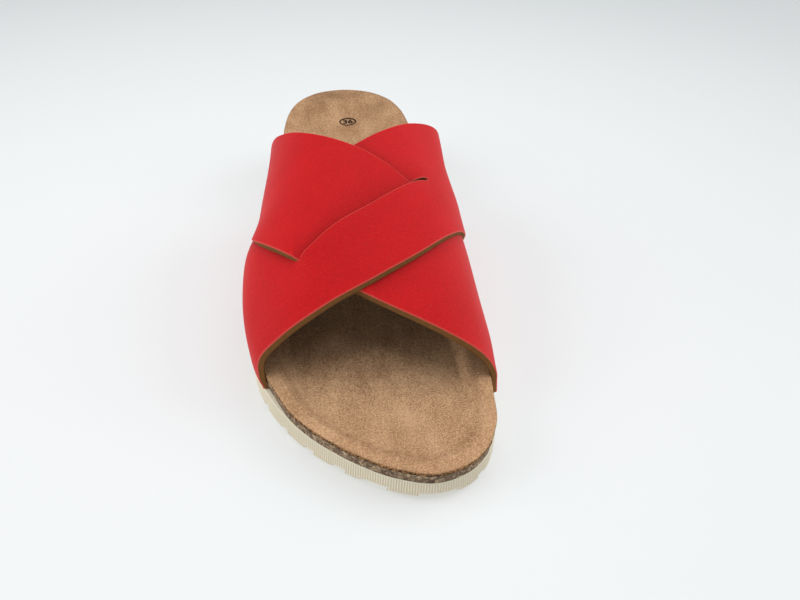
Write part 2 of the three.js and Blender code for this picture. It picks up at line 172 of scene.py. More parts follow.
# Edges of the straps around the last
SLIT_STRAP_REAR = table(
    "turn station",
    (-1, 125), (-0.7, 133), (-0.4, 136), (-0.2, 130.5), (0, 118), (0.16, 109), (0.34, 100.2), (0.57, 90),
    (1, 80),
)
SLIT_STRAP_FRONT = table(
    "turn station",
    (-1, 196.5), (-0.7, 194.8), (-0.45, 194.5), (-0.25, 191.3), (-0.1, 186.3), (0, 181), (0.15, 172.3),
    (0.35, 161), (0.55, 150.5), (1, 130),
)
THROUGH_STRAP_REAR = table(
    "turn station",
    (-1, 76), (-0.6, 87.5), (-0.4, 100.3), (-0.2, 112.6), (0, 125.5), (0.2, 139.5), (0.45, 146),
    (0.7, 142), (1, 127),
)
THROUGH_STRAP_FRONT = table(
    "turn station",
    (-1, 128), (-0.7, 137), (-0.45, 155.3), (-0.2, 173.5), (0, 187), (0.2, 196.5), (0.4, 200.8),
    (0.7, 202.5), (1, 206),
)
SLIT_LINE = table(
    "turn station",
    (-1, 168), (-0.45, 174), (-0.26, 169.8), (-0.1, 159), (0.02, 150.2), (0.12, 143.8), (0.25, 136.8),
    (0.33, 133.9), (0.5, 127), (1, 106),
)

# The slit between its two ends, and the turns over which it parts and gapes
SLIT = {"lateral": -0.26, "medial": 0.33, "half_width": 0.95, "least": 0.05}
SLIT_PARTS = {"lateral": 0.03, "medial": 0.035}
SLIT_GAPES = {"lateral": 0.04, "medial": 0.2, "spread": 0.014}

# How the straps ride over each other, off the middle surface of the last
HIGH_LIFT = 1.2
FOOT_STEP = 0.25
RIDE = {"start": -0.7, "end": -0.15}
REAR_DIP = {"depth": 1.6, "length": 14}
LIP = {"rise": 0.7, "length": 15}
DIVE_START = {"lateral": -4, "medial": -16}
DIVE_END = {"lateral": 12, "medial": 10}
EASE = 14

# Soft swells and hollows of the straps: where each is, how far it reaches and how high it stands
SLIT_STRAP_SWELLS = table(
    "turn station reach length rise",
    (-0.74, 137.5, 0.2, 5, -3.7),
    (-0.74, 148.5, 0.24, 12.5, 2.15),
    (-1.0, 191, 0.12, 14, -0.9),
    (0.62, 90, 0.26, 18, 1.2),
    (0.66, 118, 0.26, 16, 1.1),
)
THROUGH_STRAP_SWELLS = table(
    "turn station reach length rise",
    (-0.74, 138, 0.26, 11, -1.5),
    (-0.3, 166, 0.1, 8, 0.6),
    (0.72, 152, 0.25, 16, 1.0),
)

# Leather: rounded and bevelled cuts, rough cut faces, and painted shade on the skin under and next to an
# overlapping edge
SKIN_ROUND = 0.45
LINING_ROUND = 0.3
FRONT_BEVEL = {"reach": 0.9, "length": 3}
CUT_FACE = {"rows": 4, "bulge": 0.05, "rough": 0.1, "grain": 0.9}
# The pale line along the cut is partly the thin finish at the cut and partly a painted highlight.
PALE_LINE = {"full": 0.12, "gone": 0.55}
OVERLAP_START = -1
OVERLAP_SHADE = {"rear": 5, "front": 2.5}
THROUGH_SHADE = {"lip": 5, "lip_strength": 0.5, "front": 4, "front_strength": 0.7}
EDGE_ROWS = (0, 0.05, 0.13, 0.25, 0.42, 0.7, 1.3)
STRAP_ROWS = {"slit_half": 24, "through": 54}
STRAP_COLUMNS = {"lateral": 120, "slit": 120, "medial": 110}

# Camera at the photograph's angle: target and distance in millimetres, angles in degrees
CAMERA = {"azimuth": -9.244, "elevation": 41.275, "roll": 2.567, "distance": 227}
CAMERA_TARGET = (11.669 + HEEL_AXIS_X, -51.157, 25)
LENS = {"focal": 27, "sensor": 36, "clip": 10}

# Studio, in metres: where each soft light stands, its size and its power
LIGHTS = (
    {"name": "overhead", "spot": (0.15, 0.2, 1.1), "size": 1.3, "power": 8.2},
    {"name": "lateral_side", "spot": (-1.9, 0, 1.0), "size": 1.7, "power": 24},
    {"name": "medial_side", "spot": (1.9, 0.3, 1.0), "size": 1.7, "power": 21},
)
SURROUND = {"color": (0.97, 0.985, 1.0, 1.0), "strength": 0.24}
FLOOR = {"core": 0.01, "flat": 2.2, "bend": 1.4, "rings": 16, "around": 96}


def lerp(start, end, share):
    return start + (end - start) * share


def smooth(value, low, high):
    """0 below low, 1 above high, and an even curve between them."""
    share = np.clip((value - low) / (high - low), 0, 1)
    return share * share * (3 - 2 * share)


def look_up(columns, key, at, column):
    """Smooth value of one column of a table at a key, through its rows."""
    keys, values = columns[key], columns[column]
    slopes = np.empty_like(values)
    slopes[1:-1] = (values[2:] - values[:-2]) / (keys[2:] - keys[:-2])
    slopes[0] = (values[1] - values[0]) / (keys[1] - keys[0])
    slopes[-1] = (values[-1] - values[-2]) / (keys[-1] - keys[-2])
    spot = np.clip(at, keys[0], keys[-1])
    row = np.clip(np.searchsorted(keys, spot) - 1, 0, len(keys) - 2)
    span = keys[row + 1] - keys[row]
    share = (spot - keys[row]) / span
    leave = share * (1 - share) ** 2 * span * slopes[row]
    arrive = share ** 2 * (1 - share) * span * slopes[row + 1]
    return lerp(values[row], values[row + 1], smooth(share, 0, 1)) + leave - arrive


def level(station, column):
    return look_up(LEVELS, "station", station, column)


def seam_at(station):
    return level(station, "seam")


def spread(turn):
    """A turn as an even measure across the crown."""
    return np.sign(turn) * np.abs(turn) ** (2 / FULLNESS)


def edge_station(edge, turn):
    return look_up({**edge, "turn": spread(edge["turn"])}, "turn", spread(turn), "station")


def outline_curve():
    """Close points along the outline, heel tip first, along the medial side to the toe and back."""
    medial = np.column_stack([OUTLINE["medial"], OUTLINE["station"]])
    lateral = np.column_stack([OUTLINE["lateral"], OUTLINE["station"]])[::-1]
    corners = np.vstack([[(HEEL_TIP_X, 0)], medial, [(TOE_TIP_X, LENGTH)], lateral])
    before, after, beyond = (np.roll(corners, shift, axis=0) for shift in (1, -1, -2))

    def pace(start, end):
        return np.linalg.norm(end - start, axis=1, keepdims=True) ** 0.5

    first, second, third = pace(before, corners), pace(corners, after), pace(after, beyond)
    ahead = (after - corners) / second
    leave = ((corners - before) / first - (after - before) / (first + second) + ahead) * second
    arrive = (ahead - (beyond - corners) / (second + third) + (beyond - after) / third) * second
    share = np.linspace(0, 1, STEPS_BETWEEN_CORNERS, endpoint=False)[:, None, None]
    bends = share * (1 - share) ** 2 * leave - share ** 2 * (1 - share) * arrive
    curve = lerp(corners, after, smooth(share, 0, 1)) + bends
    return curve.transpose(1, 0, 2).reshape(-1, 2)


def trace_outline(steps):
    """The outline as evenly spaced points, with the direction outwards at each."""
    curve = outline_curve()
    closed = np.vstack([curve, curve[:1]])
    travel = np.concatenate([[0], np.cumsum(np.linalg.norm(np.diff(closed, axis=0), axis=1))])
    places = np.linspace(0, travel[-1], steps, endpoint=False)
    x, station = (np.interp(places, travel, closed[:, axis]) for axis in (0, 1))
    along = np.column_stack([np.roll(x, -1) - np.roll(x, 1), np.roll(station, -1) - np.roll(station, 1)])
    along /= np.linalg.norm(along, axis=1, keepdims=True)
    return {
        "x": x,
        "station": station,
        "out_x": along[:, 1],
        "out_station": -along[:, 0],
        "medial": np.arange(steps) <= steps // 2,
    }


GUIDE = trace_outline(GUIDE_POINTS)


def edge_x(station, medial, offset):
    """X of the outline, moved outwards by an offset, where it passes a station."""
    half = GUIDE_POINTS // 2
    stations = GUIDE["station"] + GUIDE["out_station"] * offset
    xs = GUIDE["x"] + GUIDE["out_x"] * offset
    inner = np.interp(station, stations[:half + 1], xs[:half + 1])
    outer = np.interp(station, stations[half:][::-1], xs[half:][::-1])
    return np.where(medial, inner, outer)


def middle_x(station):
    return (edge_x(station, True, 0) + edge_x(station, False, 0)) / 2


def rim_level(station, medial):
    return np.where(medial, level(station, "medial_rim"), level(station, "lateral_rim"))


def flare_at(station, medial):
    return np.where(medial, level(station, "flare"), 0)


def tuck_at(station, medial):
    """How far the cork stands inside the outsole under the straps."""
    front = np.where(medial, STRAP_FRONT_FOOT["medial"], STRAP_FRONT_FOOT["lateral"])
    ahead = smooth(station, front + TUCK["past"], front + TUCK["gone"])
    return TUCK["depth"] * smooth(station, TUCK["start"], TUCK["full"]) * (1 - ahead)


def ring(path, out, share):
    """Stations and xs around the sole: the outline moved outwards, then pulled towards the spine."""
    spine = np.clip(path["station"], SPINE["heel"], SPINE["toe"])
    station = lerp(spine, path["station"] + path["out_station"] * out, share)
    return station, lerp(middle_x(spine), path["x"] + path["out_x"] * out, share)


def place(station, x, z):
    """Points in metres from stations, xs and heights."""
    return np.stack(np.broadcast_arrays(x + HEEL_AXIS_X, LENGTH / 2 - station, z), axis=-1) * MM


def skin_faces(rings, around, bottom=True):
    """Faces over a stack of closed rings, with a ladder of faces across the first and the last."""
    first = np.arange(rings - 1)[:, None] * around
    here = np.arange(around)
    after = (here + 1) % around
    sides = np.stack([first + here, first + after, first + around + after, first + around + here], axis=-1)
    rungs = np.arange(around // 2)
    across = (around - rungs) % around
    ladder = np.stack([rungs, across, around - rungs - 1, rungs + 1], axis=-1).tolist()
    ladder = [list(dict.fromkeys(face)) for face in ladder]
    faces = sides.reshape(-1, 4).tolist() + ladder
    if bottom:
        under = (rings - 1) * around
        faces += [[under + corner for corner in reversed(face)] for face in ladder]
    return faces


def make_piece(name, points, faces, finishes, finish_of_face=None):
    """A smooth shaded object with its finishes."""
    mesh = bpy.data.meshes.new(name)
    mesh.from_pydata(np.asarray(points).tolist(), [], faces)
    mesh.validate()
    for finish in finishes:
        mesh.materials.append(finish)
    if finish_of_face is not None:
        mesh.polygons.foreach_set("material_index", finish_of_face)
    mesh.polygons.foreach_set("use_smooth", [True] * len(mesh.polygons))
    piece = bpy.data.objects.new(name, mesh)
    bpy.context.scene.collection.objects.link(piece)
    return piece


def add_mask(piece, name, values):
    """A number at each point that a finish can read."""
    mask = piece.data.attributes.new(name, "FLOAT", "POINT")
    mask.data.foreach_set("value", np.asarray(values, np.float32).ravel())


def stand_for(piece, node):
    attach(piece, "root")
    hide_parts(node)


def roughness_of(points, grain):
    """Even noise from -1 to 1 at points in metres, for grains of a size in millimetres."""
    scale = 1 / (grain * MM)
    settings = ROUGHNESS["falloff"], ROUGHNESS["step"], ROUGHNESS["octaves"]
    return np.array([noise.fractal(Vector(point) * scale, *settings) for point in points.reshape(-1, 3)])


class Value:
    """A shader socket with arithmetic: each operator adds a Math node."""

    def __init__(self, finish, socket):
        self.finish = finish
        self.socket = socket

    def math(self, operation, first, second):
        return self.finish.node("Math", {"operation": operation}, {0: first, 1: second})

    def __add__(self, other):
        return self.math("ADD", self, other)

    def __sub__(self, other):
        return self.math("SUBTRACT", self, other)

    def __rsub__(self, other):
        return self.math("SUBTRACT", other, self)

    def __mul__(self, other):
        return self.math("MULTIPLY", self, other)

    __radd__ = __add__
    __rmul__ = __mul__


def paint(red, green, blue):
    """A colour as seen on a screen, 0 to 255, as a shader colour."""
    shares = (np.array([red, green, blue]) / 255 + 0.055) / 1.055
    return (*(shares ** 2.4), 1.0)


class Finish:
    """One material: a principled surface and the nodes that feed it."""

    def __init__(self, name, shine, sheen=0.0):
        self.material = bpy.data.materials.new(name)
        self.material.use_nodes = True
        self.tree = self.material.node_tree
        self.surface = self.tree.nodes["Principled BSDF"]
        self.surface.inputs["Specular IOR Level"].default_value = shine
        self.surface.inputs["Sheen Weight"].default_value = sheen
        self.place = self.node("TexCoord", {}, {}, "Object")

    def node(self, kind, settings, sockets, output=0):
        made = self.tree.nodes.new("ShaderNode" + kind)
        for name, value in settings.items():
            if name == "stops":
                self.set_stops(made.color_ramp, value)
            else:
                setattr(made, name, value)
        for name, value in sockets.items():
            self.feed(made.inputs[name], value)
        return Value(self, made.outputs[output])

    def feed(self, socket, value):
        if isinstance(value, Value):
            self.tree.links.new(value.socket, socket)
        else:
            socket.default_value = value

    def set_stops(self, ramp, stops):
        while len(ramp.elements) < len(stops):
            ramp.elements.new(0.5)
        for element, (position, color) in zip(ramp.elements, stops):
            element.position = position
            element.color = color

    def grain(self, size, detail=2.0, roughness=0.5, stretch=None):
        """Noise from 0 to 1 with features of a size in millimetres."""
        where = self.place
        if stretch is not None:
            where = self.node("VectorMath", {"operation": "MULTIPLY"}, {0: where, 1: stretch})
        sockets = {"Vector": where, "Scale": 1 / (size * MM), "Detail": detail, "Roughness": roughness}
        return self.node("TexNoise", {}, sockets, "Fac")

    def cells(self, size, output="Distance", feature="F1"):
        sockets = {"Vector": self.place, "Scale": 1 / (size * MM)}
        return self.node("TexVoronoi", {"feature": feature}, sockets, output)

    def cell_tone(self, size):
        """One number from 0 to 1 for each cell of a size in millimetres."""
        return self.node("SeparateColor", {}, {0: self.cells(size, "Color")}, 0)

    def mask(self, name):
        return self.node("Attribute", {"attribute_name": name}, {}, "Fac")

    def rise(self, value, low, high):
        """0 below low, 1 above high, and an even curve between them."""
        sockets = {"Value": value, "From Min": low, "From Max": high}
        return self.node("MapRange", {"interpolation_type": "SMOOTHSTEP"}, sockets)

    def spot(self, center, radius):
        """1 at a point in millimetres, fading to 0 at a radius."""
        middle = [size * MM for size in center]
        distance = self.node("VectorMath", {"operation": "DISTANCE"}, {0: self.place, 1: middle}, "Value")
        return 1 - self.rise(distance, 0, radius * MM)

    def mix(self, factor, first, second):
        sockets = {"Factor": factor, 6: first, 7: second}
        return self.node("Mix", {"data_type": "RGBA"}, sockets, 2)

    def emboss(self, height, depth):
        """Bump from a height of 0 to 1 that stands for a depth in millimetres."""
        sockets = {"Height": height, "Distance": depth * MM, "Strength": 1.0}
        self.feed(self.surface.inputs["Normal"], self.node("Bump", {}, sockets))

    def wear(self, color, roughness):
        self.feed(self.surface.inputs["Base Color"], color)
        self.feed(self.surface.inputs["Roughness"], roughness)
        return self.material


def red_leather():
    """Smooth red grain leather: fine pebble, small pores, painted shade next to overlapping edges, and a
    pale line along the cut that is partly the thin finish at the cut and partly a painted highlight.
    """
    finish = Finish("red_leather", shine=0.13, sheen=0.05)
    deep_red, bright_red, pore_red = paint(185, 7, 13), paint(208, 15, 21), paint(140, 12, 20)
    pink_speck, shaded_red, pale_cut_and_highlight = paint(226, 74, 70), paint(128, 6, 12), paint(222, 98, 86)
    pebble = finish.grain(0.75, detail=3)
    fine = finish.grain(0.32)
    cloud = finish.grain(22, detail=3)
    pores = 1 - finish.rise(finish.cells(1.3), 0.1, 0.24)
    specks = finish.rise(finish.grain(0.6, detail=1), 0.64, 0.76)
    tone = pebble * 0.4 + fine * 0.35 + cloud * 0.25
    red = finish.mix(finish.rise(tone, 0.32, 0.68), deep_red, bright_red)
    red = finish.mix(pores * 0.3, red, pore_red)
    red = finish.mix(specks * 0.22, red, pink_speck)
    # painted shade: the red darkens where the shade mask marks skin next to another strap's overlapping edge
    red = finish.mix(finish.mask("shade") * 0.55, red, shaded_red)
    # pale line at the cut: partly the thin finish, partly a painted highlight
    red = finish.mix(finish.mask("cut") * 0.7, red, pale_cut_and_highlight)
    finish.emboss(pebble * 0.6 + fine * 0.3 - pores * 0.4, depth=0.06)
    return finish.wear(red, 0.52 + fine * 0.16)


def raw_leather(name, light, dark, depth):
    """Brown undyed leather, fibrous on its cut edges and brushed on its flesh side."""
    finish = Finish(name, shine=0.1)
    fibre = finish.grain(0.35, detail=4, roughness=0.65)
    tufts = finish.grain(1.6, detail=3)
    pits = finish.rise(finish.grain(0.8), 0.6, 0.75)
    brown = finish.mix(fibre * 0.65 + tufts * 0.35, dark, light)
    brown = finish.mix(pits * 0.5, brown, dark)
    finish.emboss(fibre * 0.7 + tufts * 0.3, depth)
    return finish.wear(brown, 0.85 + fibre * 0.12)


def tan_suede():
    """Napped suede of the footbed, with painted light on its raised margin, painted shade along the slope
    inside it, and heel marks that are partly smudges of use and partly painted shade.
    """
    finish = Finish("tan_suede", shine=0.1)
    dark_tan, light_tan, raised_nap = paint(138, 98, 68), paint(218, 178, 138), paint(230, 196, 158)
    pressed_nap, painted_lit_margin, painted_slope_shade = paint(108, 74, 50), paint(208, 160, 116), paint(120, 82, 54)
    cut_dark, cut_light, smudge_and_shade = paint(52, 32, 18), paint(172, 122, 76), paint(104, 78, 56)
    nap = finish.grain(0.5, detail=4, roughness=0.65)
    tufts = finish.grain(1.2, detail=3, roughness=0.6)
    cloud = finish.grain(14, detail=3)
    brushed = finish.grain(6, detail=3, roughness=0.6, stretch=(1.0, 0.35, 1.0))
    fleck = finish.rise(finish.grain(0.7), 0.46, 0.56)
    tone = nap * 0.56 + tufts * 0.14 + cloud * 0.16 + brushed * 0.14
    tan = finish.mix(finish.rise(tone, 0.34, 0.66), dark_tan, light_tan)
    tan = finish.mix(finish.rise(nap, 0.6, 0.72) * 0.35, tan, raised_nap)
    tan = finish.mix(finish.rise(1 - nap, 0.6, 0.72) * 0.45, tan, pressed_nap)
    # painted light on the raised toe margin
    tan = finish.mix(finish.mask("margin") * 0.16, tan, painted_lit_margin)
    # painted shade along the slope below the raised margin
    tan = finish.mix(finish.mask("slope") * 0.26, tan, painted_slope_shade)
    tan = finish.mix(finish.mask("rim") * 0.95, tan, finish.mix(fleck, cut_dark, cut_light))
    # heel marks: partly smudges, partly painted shade at the back of the heel cup
    tan = finish.mix(finish.mask("mark") * (0.35 + tufts * 0.5), tan, smudge_and_shade)
    finish.emboss(nap * 0.6 + tufts * 0.4, depth=0.2)
    return finish.wear(tan, 0.88 + nap * 0.1)


def cork():
    """Granulated cork: brown grains with dark joints and pale chips."""
    finish = Finish("cork", shine=0.2)
    dark_joint, pale_chip, glue_brown = paint(60, 44, 32), paint(206, 180, 144), paint(52, 34, 22)
    grain_browns = [
        (0.0, paint(84, 66, 50)),
        (0.45, paint(130, 108, 86)),
        (0.8, paint(162, 138, 112)),
        (1.0, paint(204, 180, 148)),
    ]
    granule = finish.cell_tone(1.7)
    joint = 1 - finish.rise(finish.cells(1.7, "Distance", "DISTANCE_TO_EDGE"), 0.02, 0.12)
    crumb = finish.cell_tone(0.8)
    dust = finish.grain(0.4, detail=3)
    tone = granule * 0.55 + crumb * 0.3 + dust * 0.15
    brown = finish.node("ValToRGB", {"stops": grain_browns}, {0: tone})
    brown = finish.mix(joint * 0.4, brown, dark_joint)
    brown = finish.mix(finish.rise(crumb, 0.8, 0.88) * 0.6, brown, pale_chip)
    brown = finish.mix(finish.mask("glue"), brown, glue_brown)
    finish.emboss(granule * 0.4 + crumb * 0.3 - joint * 0.5 + dust * 0.2, depth=0.22)
    return finish.wear(brown, 0.72 + dust * 0.2)


def foam_rubber():
    """Matt beige foam, darker in the valleys between its ribs."""
    finish = Finish("foam_rubber", shine=0.2)
    beige_low, beige_high = paint(228, 216, 190), paint(244, 236, 216)
    darker_valley, scuff = paint(172, 154, 122), paint(182, 164, 136)
    dust = finish.grain(9, detail=4)
    skin = finish.grain(0.5, detail=3)
    scuffed = finish.rise(finish.grain(3.2, detail=3), 0.62, 0.76)
    beige = finish.mix(dust * 0.7 + skin * 0.3, beige_low, beige_high)
    beige = finish.mix(finish.mask("valley") * (0.15 + dust * 0.4), beige, darker_valley)
    beige = finish.mix(scuffed * 0.3, beige, scuff)
    finish.emboss(skin, depth=0.06)
    return finish.wear(beige, 0.78 + skin * 0.16)


def ink():
    """Dark stamped ink that sits in the nap."""
    finish = Finish("ink", shine=0.1)
    broken = finish.grain(0.5)
    black = finish.mix(finish.rise(broken, 0.55, 0.75) * 0.3, paint(34, 27, 22), paint(110, 86, 64))
    return finish.wear(black, 0.8 + broken * 0.1)


def pale_floor():
    """White studio paper that glows as painted light, brightest around the sandal and on the far wall."""
    finish = Finish("pale_floor", shine=0.1)
    paper_low, paper_high = paint(188, 191, 192), paint(192, 194, 195)
    dim_glow, pool_glow, wall_glow = paint(74, 77, 78), paint(164, 165, 165), paint(168, 170, 171)
    cloud = finish.grain(300)
    pool = finish.spot((-60, -60, 0), radius=800)
    wall = 1 - finish.spot((0, 0, 0), radius=3000)
    glow = finish.mix(pool, dim_glow, pool_glow)
    glow = finish.mix(finish.rise(wall, 0.4, 0.9), glow, wall_glow)
    # the floor glows though it is no lamp: a painted pool of light around the sandal and on the wall
    finish.feed(finish.surface.inputs["Emission Color"], glow)
    finish.surface.inputs["Emission Strength"].default_value = 1.0
    return finish.wear(finish.mix(cloud, paper_low, paper_high), 0.7 + cloud * 0.1)


def bottom_at(station):
    """Underside: flat at heel and ball, a low arch at the waist, rolled heel and toe spring."""
    toe = np.maximum(0, (station - TOE_SPRING["start"]) / (LENGTH - TOE_SPRING["start"]))
    heel = np.maximum(0, (HEEL_ROLL["start"] - station) / HEEL_ROLL["start"])
    waist = np.clip((station - WAIST["start"]) / (WAIST["end"] - WAIST["start"]), 0, 1)
    ends = TOE_SPRING["rise"] * toe ** TOE_SPRING["bend"] + HEEL_ROLL["rise"] * heel ** HEEL_ROLL["bend"]
    return ends + WAIST["rise"] * np.sin(np.pi * waist)


BAR_FACES = ((2, 3, 1, 0), (5, 7, 6, 4), (1, 5, 4, 0), (6, 7, 3, 2), (4, 6, 2, 0), (3, 7, 5, 1))


def groove_bar(start, end, width, overrun):
    """Corners of one bar that cuts a groove between two places on the sole's edge."""
    start, end = Vector(start), Vector(end)
    along = (end - start).normalized()
    aside = along.cross(Vector((0, 0, 1))).normalized() * width * MM / 2
    depth = Vector((0, 0, LUGS["depth"] * MM))
    ends = (start - along * overrun * MM, end + along * overrun * MM)
    sides = [middle + aside * side for middle in ends for side in (-1, 1)]
    return [tuple(side + depth * up) for side in sides for up in (-1, 1)]


def groove_cutters():
    """The bars of the tread, and the wide notch at the toe."""
    edge = trace_outline(LUGS["places"])
    stops = place(edge["station"], edge["x"], bottom_at(edge["station"]))
    toe = LUGS["places"] // 2
    spacing = toe / (LUGS["grooves"] + 1)
    places = [round(groove * spacing) for groove in range(1, LUGS["grooves"] + 1)]
    bars = [
        groove_bar(stops[LUGS["places"] - index], stops[index], LUGS["width"], LUGS["overrun"])
        for index in places
    ]
    notch_end = toe - 1
    notch_start = Vector(stops[notch_end]) + Vector((-TOE_NOTCH["lean"], TOE_NOTCH["length"], 0)) * MM
    notch_start.z = bottom_at(edge["station"][notch_end] - TOE_NOTCH["length"]) * MM
    notch = groove_bar(notch_start, stops[notch_end], TOE_NOTCH["width"], TOE_NOTCH["overrun"])
    cutters = []
    for name, group in (("bars", bars), ("notch", [notch])):
        firsts = range(0, len(group) * len(notch), len(notch))
        faces = [[first + corner for corner in face] for first in firsts for face in BAR_FACES]
        cutters.append(make_piece(name, np.concatenate(group), faces, []))
    return cutters


def cut_away(piece, cutters):
    """The piece's mesh less the cutters, which are then deleted."""
    for cutter in cutters:
        cut = piece.modifiers.new(cutter.name, "BOOLEAN")
        cut.operation = "DIFFERENCE"
        cut.solver = "EXACT"
        cut.object = cutter
    done = bpy.data.meshes.new_from_object(piece.evaluated_get(bpy.context.evaluated_depsgraph_get()))
    piece.modifiers.clear()
    piece.data = done
    for cutter in cutters:
        bpy.data.objects.remove(cutter)


def make_outsole():
    """Foam rubber sole with a ribbed side and a grooved tread."""
    around = RIBS["count"] * RIBS["samples"]
    path = trace_outline(around)
    phase = 2 * np.pi * np.arange(around) / RIBS["samples"]
    valley = 0.5 - 0.5 * np.cos(phase)
    seam = seam_at(path["station"])
    bottom = bottom_at(path["station"])
    rings, valleys = [], []

    def add(out, height, share=1.0, ribbed=0.0):
        station, x = ring(path, out - RIBS["depth"] * valley * ribbed, share)
        rings.append(place(station, x, height(station) if callable(height) else height))
        valleys.append(valley * ribbed)

    for share in (SPINE["core"], SPINE["middle"]):
        add(0, seam_at, share)
    for out, drop, ribbed in rows_of(TOP_EDGE):
        add(out, seam - drop, ribbed=ribbed)
    for share in SIDE_SHARES:
        add(SIDE_FLARE * share, lerp(seam - TOP_EDGE_DROP, bottom + BOTTOM_EDGE, share), ribbed=1.0)
    for inwards, height, ribbed in rows_of(LOW_EDGE):
        add(SIDE_FLARE - inwards, bottom + height, ribbed=ribbed)
    for share in UNDERSIDE_SHARES:
        add(SIDE_FLARE - BOTTOM_EDGE, bottom_at, share)
    faces = skin_faces(len(rings), around)
    piece = make_piece("outsole_foam", np.concatenate(rings), faces, [foam_rubber()])
    add_mask(piece, "valley", valleys)
    cut_away(piece, groove_cutters())
    piece.data.set_sharp_from_angle(angle=math.radians(LUGS["sharp_degrees"]))
    stand_for(piece, "outsole")


def bed_height(station, edge, medial, share):
    """A bowl at the heel that fades into a flat toe bed with a broad raised margin."""
    bowl = share ** CUP["power"]
    margin = smooth(share, TOE_MARGIN["start"], TOE_MARGIN["end"])
    rise = lerp(bowl, margin, smooth(edge, CUP["heel"], CUP["toe"]))
    return lerp(level(station, "bed"), rim_level(edge, medial), rise)


def rim_offset(path):
    return flare_at(path["station"], path["medial"]) - tuck_at(path["station"], path["medial"])


def make_footbed():
    """Cork body: only its side shows, with a rough ground face."""
    path = trace_outline(CORK_POINTS)
    medial, edge = path["medial"], path["station"]
    drop = SUEDE + GAP / 2
    top = rim_level(edge, medial) - RIM_ROUND - drop
    foot = seam_at(edge) + GAP / 3
    inset = -tuck_at(edge, medial)
    rings = []
    for share in CORK_TOP_SHARES:
        station, x = ring(path, rim_offset(path), share)
        hidden = CORK_DROP["depth"] * (1 - smooth(share, CORK_DROP["start"], CORK_DROP["gone"]))
        rings.append(place(station, x, bed_height(station, edge, medial, share) - drop - hidden))
    for down in np.linspace(0, 1, CORK_SIDE["rings"]):
        out = lerp(rim_offset(path), inset, down)
        height = lerp(top, foot, down)
        fade = min(1, CORK_SIDE["fade"] * down, CORK_SIDE["fade"] * (1 - down) + CORK_SIDE["foot"])
        station, x = ring(path, out, 1.0)
        rough = roughness_of(place(station, x, height), CORK_SIDE["grain"]) * CORK_SIDE["rough"] * fade
        station, x = ring(path, out + rough - CORK_SIDE["inset"], 1.0)
        rings.append(place(station, x, height))
    for share in (SPINE["middle"], SPINE["core"]):
        station, x = ring(path, inset, share)
        rings.append(place(station, x, seam_at(station) + GAP / 3))
    faces = skin_faces(len(rings), CORK_POINTS)
    piece = make_piece("footbed_cork", np.concatenate(rings), faces, [cork()])
    glue = np.zeros((len(rings), CORK_POINTS))
    glue[len(CORK_TOP_SHARES)] = GLUE["top"]
    glue[len(CORK_TOP_SHARES) + CORK_SIDE["rings"] - 1] = GLUE["foot"]
    add_mask(piece, "glue", glue)
    stand_for(piece, "footbed")


def bed_troughs(edge, medial, share):
    """How far the suede is pressed in at a place."""
    depth = 0
    for station, middle, on_medial, length, width, deep in rows_of(BED_TROUGHS):
        beside = np.exp(-((share - middle) / width) ** 2)
        along = np.exp(-((edge - station) / length) ** 4)
        depth = depth + deep * beside * along * (medial == bool(on_medial))
    return depth


def heel_marks(station, x):
    """How strongly the heel is darkened at a place, by smudges and by painted shade at the back of the heel
    cup.
    """
    strength = 0
    for mark_station, mark_x, length, width, deep in rows_of(HEEL_MARKS):
        near = ((station - mark_station) / length) ** 2 + ((x - mark_x) / width) ** 2
        strength = strength + deep * np.exp(-near)
    return np.clip(strength, 0, 1)


def make_insole():
    """Suede sheet over the bed, with a soft rounded rim and a slightly ragged cut."""
    path = trace_outline(SUEDE_POINTS)
    medial, edge = path["medial"], path["station"]
    out = rim_offset(path)
    toe_part = smooth(edge, TOE_PART["start"], TOE_PART["full"])
    ragged = roughness_of(place(edge, path["x"], RAGGED["height"]), RAGGED["grain"]) * RAGGED["depth"]
    rings = []
    masks = {"rim": [], "mark": [], "slope": [], "margin": []}

    def add(ring_out, drop, share, rim):
        station, x = ring(path, ring_out, share)
        height = bed_height(station, edge, medial, share) - bed_troughs(edge, medial, share)
        from_slope = (share - MARGIN_SLOPE["share"]) / MARGIN_SLOPE["width"]
        rings.append(place(station, x, height - drop))
        masks["rim"].append(np.full(SUEDE_POINTS, rim))
        masks["mark"].append(heel_marks(station, x))
        # slope mask: painted shade along the slope below the raised margin
        masks["slope"].append(toe_part * np.exp(-from_slope ** 2))
        # margin mask: painted light on the raised toe margin
        masks["margin"].append(toe_part * smooth(share, TOE_MARGIN["end"], MARGIN_FULL) * (1 - rim))

    for share in SUEDE_SHARES:
        add(out, 0.0, share, 0.0)
    for inwards, drop, rim in rows_of(SUEDE_RIM):
        add(out - inwards + ragged, drop, 1.0, rim)
    for drop in SUEDE_CUT["drops"]:
        add(out - SUEDE_CUT["inset"] + ragged * SUEDE_CUT["ragged"], RIM_ROUND + drop, 1.0, 1.0)
    for share in SUEDE_UNDER_SHARES:
        add(out, SUEDE, share, 0.0)
    faces = skin_faces(len(rings), SUEDE_POINTS)
    piece = make_piece("insole_suede", np.concatenate(rings), faces, [tan_suede()])
    for name, values in masks.items():
        add_mask(piece, name, values)
    stand_for(piece, "insole")


def bed_at(stations, xs):
    """Heights of the suede at any places of the heel."""
    path = trace_outline(SUEDE_POINTS)
    heights = []
    for station, x in zip(stations, xs):
        spine = np.clip(station, SPINE["heel"], SPINE["toe"])
        middle = middle_x(spine)
        across = np.array([station - spine, x - middle])
        reach = np.column_stack([path["station"] - spine, path["x"] - middle])
        lengths = np.linalg.norm(reach, axis=1)
        nearest = int(np.argmax(reach @ across / lengths))
        share = np.linalg.norm(across) / lengths[nearest]
        heights.append(float(bed_height(station, path["station"][nearest], x > middle, share)))
    return np.array(heights)


